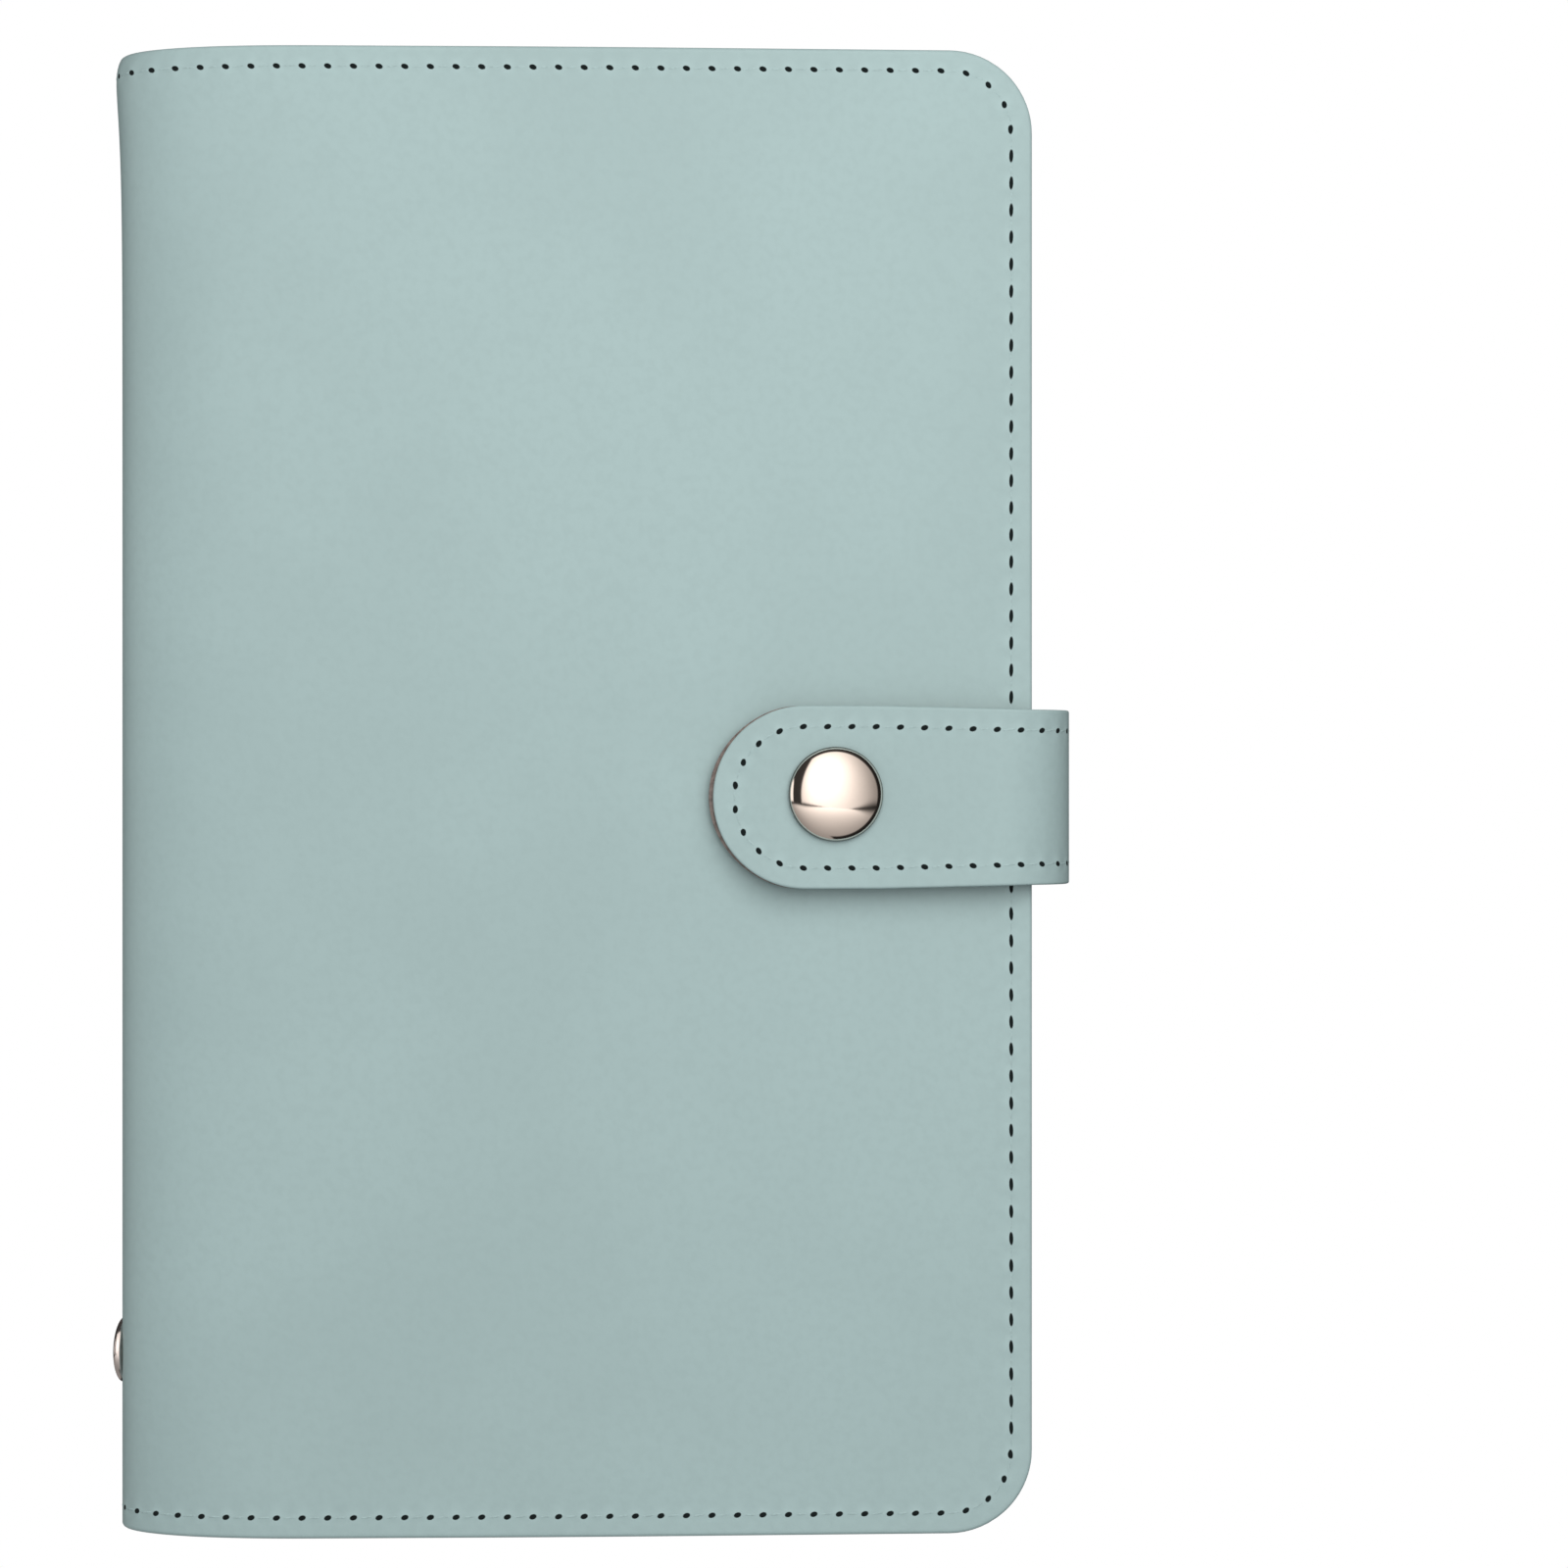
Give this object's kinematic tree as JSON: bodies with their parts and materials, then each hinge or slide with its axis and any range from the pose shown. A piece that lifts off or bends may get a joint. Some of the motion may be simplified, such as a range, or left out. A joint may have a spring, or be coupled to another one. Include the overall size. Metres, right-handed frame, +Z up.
{
  "type": "cash envelope wallet",
  "caption": "Book-style cash envelope wallet with soft covers, a round spine, clear film envelopes inside and a snap strap over the fore edge.",
  "frame": {"origin": "on the floor under the middle of the whole closed wallet, strap and rivets included", "axes": "+X from the spine to the fore edge, +Y from the tail to the head, +Z up out of the front cover"},
  "size_m": [0.1238, 0.1896, 0.0286],
  "materials": {
    "cover_leather": "smooth satin imitation leather",
    "lining": "matt lining",
    "film": "clear frosted film",
    "binder": "matt",
    "strap_leather": "smooth satin imitation leather",
    "strap_backing": "raw cut edge",
    "rose_metal": "polished",
    "nickel": "polished"
  },
  "bodies": {
    "back_and_spine": {"back_cover_skin": "cover_leather", "back_cover_lining": "lining", "envelope_book": "film", "spine_binder": "binder", "tail_rivet": "nickel", "head_rivet": "nickel", "strap_root": "strap_leather"},
    "front_cover": {"front_cover_skin": "cover_leather", "front_cover_lining": "lining", "snap_stud": "nickel", "snap_backing": "nickel"},
    "strap_fold": {"strap_fold_outer": "strap_leather", "strap_fold_lining": "strap_backing"},
    "strap_tab": {"strap_tab_outer": "strap_leather", "strap_tab_lining": "strap_backing", "snap_cap": "rose_metal", "snap_socket": "nickel"}
  },
  "joints": [
    {"name": "front_cover_hinge", "type": "hinge", "parent": "back_and_spine", "child": "front_cover", "pos_m": [-0.05284, 0, 0.02079], "axis": [0, -1, 0], "range_deg": [0, 186]},
    {"name": "strap_fold_hinge", "type": "hinge", "parent": "back_and_spine", "child": "strap_fold", "pos_m": [0.0607, -0.00068, 0.00127], "axis": [0, 1, 0], "range_deg": [0, 86]},
    {"name": "strap_tab_hinge", "type": "hinge", "parent": "strap_fold", "child": "strap_tab", "pos_m": [0.05917, -0.00068, 0.0227], "axis": [0, 1, 0], "range_deg": [0, 86]}
  ],
  "couplings": [
    {"joint": "strap_tab_hinge", "follows": "strap_fold_hinge", "ratio": 1}
  ]
}
